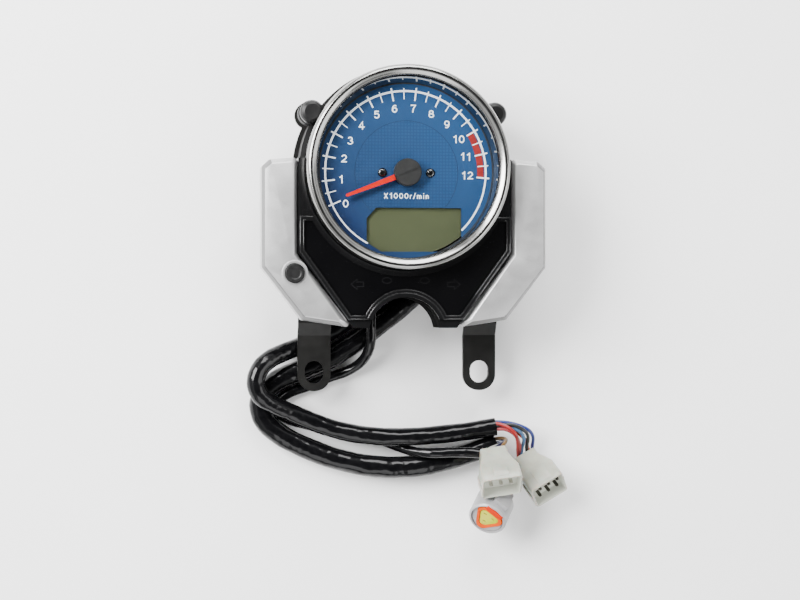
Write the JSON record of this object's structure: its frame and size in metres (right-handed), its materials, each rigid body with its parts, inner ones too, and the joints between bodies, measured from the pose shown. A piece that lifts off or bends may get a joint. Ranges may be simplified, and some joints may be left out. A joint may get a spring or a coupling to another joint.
{
  "type": "motorcycle instrument cluster",
  "caption": "Round tachometer with a liquid crystal window in a black housing with silver covers, indicator panel, rear bracket and wiring harness with plugs.",
  "frame": {"origin": "on the can's axis at its flat back", "axes": "+Z towards the rider, out of the dial; +Y towards the top of the dial; +X to the rider's right"},
  "size_m": [0.1754, 0.2506, 0.066],
  "materials": {
    "black_housing": "satin moulded black plastic",
    "can_black": "satin black coated pressed steel",
    "bezel_black": "semi-gloss black enamel, polished on its inner wall",
    "clear_lens": "polished clear window",
    "silver_cover": "fine metallic silver paint over plastic",
    "bracket_black": "satin black stamped steel",
    "dial_print": "printed blue dial film",
    "inner_black": "matte black inner moulding",
    "lcd_glass": "olive liquid crystal glass",
    "diffuser": "white light guide",
    "board_green": "green solder mask",
    "chip_black": "moulded component package",
    "lamp": "clear lamp resin",
    "copper": "wound enamelled wire",
    "steel": "plain machined steel",
    "dark_steel": "black oxide steel",
    "needle_orange": "fluorescent red orange",
    "hub_grey": "dark grey satin plastic",
    "smoked_lens": "smoked gloss window",
    "button_black": "satin black",
    "rubber_black": "black rubber",
    "sleeve_black": "glossy black soft sleeve",
    "nylon": "milky translucent nylon",
    "shell_grey": "grey moulded plastic",
    "tin": "tin plated contacts",
    "seal_orange": "orange silicone seal",
    "insert_yellow": "pale yellow green moulding",
    "wires": "assorted coloured wire insulation"
  },
  "bodies": {
    "cluster": {"rear_can": "can_black", "bezel_ring": "bezel_black", "lens": "clear_lens", "lens_gasket": "rubber_black", "reflector_ring": "inner_black", "dial_plate": "dial_print", "dial_screws": "dark_steel", "lcd_glass": "lcd_glass", "lcd_frame": "inner_black", "lcd_connector_strips": "rubber_black", "lcd_backlight": "diffuser", "main_board": "board_green", "board_components": "chip_black", "dial_leds": "lamp", "dial_support": "inner_black", "board_screws": "steel", "movement_bobbin": "diffuser", "movement_coils": "copper", "shaft_bushes": "tin", "movement_shield": "steel", "left_cover": "silver_cover", "right_cover": "silver_cover", "front_housing": "black_housing", "indicator_lens": "smoked_lens", "light_baffle": "inner_black", "indicator_board": "board_green", "indicator_leds": "lamp", "rear_housing": "black_housing", "cover_screws": "dark_steel", "housing_screws": "dark_steel", "switch_body": "chip_black", "switch_board": "board_green", "button_spring": "steel", "mounting_bracket": "bracket_black", "bracket_screws": "dark_steel", "damper_left": "rubber_black", "damper_right": "rubber_black", "damper_bolts": "dark_steel", "harness_grommet": "rubber_black", "sleeve_a": "sleeve_black", "sleeve_b": "sleeve_black", "sleeve_c": "sleeve_black", "connector_left": "nylon", "connector_left_pins": "tin", "connector_right": "nylon", "connector_right_pins": "tin", "sealed_connector": "shell_grey", "connector_seal": "seal_orange", "connector_insert": "insert_yellow", "leads_a": "wires", "leads_b": "wires", "leads_c": "wires"},
    "needle": {"needle": "needle_orange", "needle_hub": "hub_grey", "movement_shaft": "steel", "movement_rotor": "dark_steel"},
    "reset_button": {"reset_button": "button_black", "switch_plunger": "hub_grey"}
  },
  "joints": [
    {"name": "needle_sweep", "type": "hinge", "parent": "cluster", "child": "needle", "pos_m": [0, -0.0021, 0.056], "axis": [0, 0, 1], "range_deg": [-206, 4]},
    {"name": "reset_press", "type": "slide", "parent": "cluster", "child": "reset_button", "axis": [0, 0, -1], "range_m": [0, 0.0012], "stiffness_N_per_m": 400, "springref_m": -0.002, "deforming": ["button_spring"]}
  ]
}
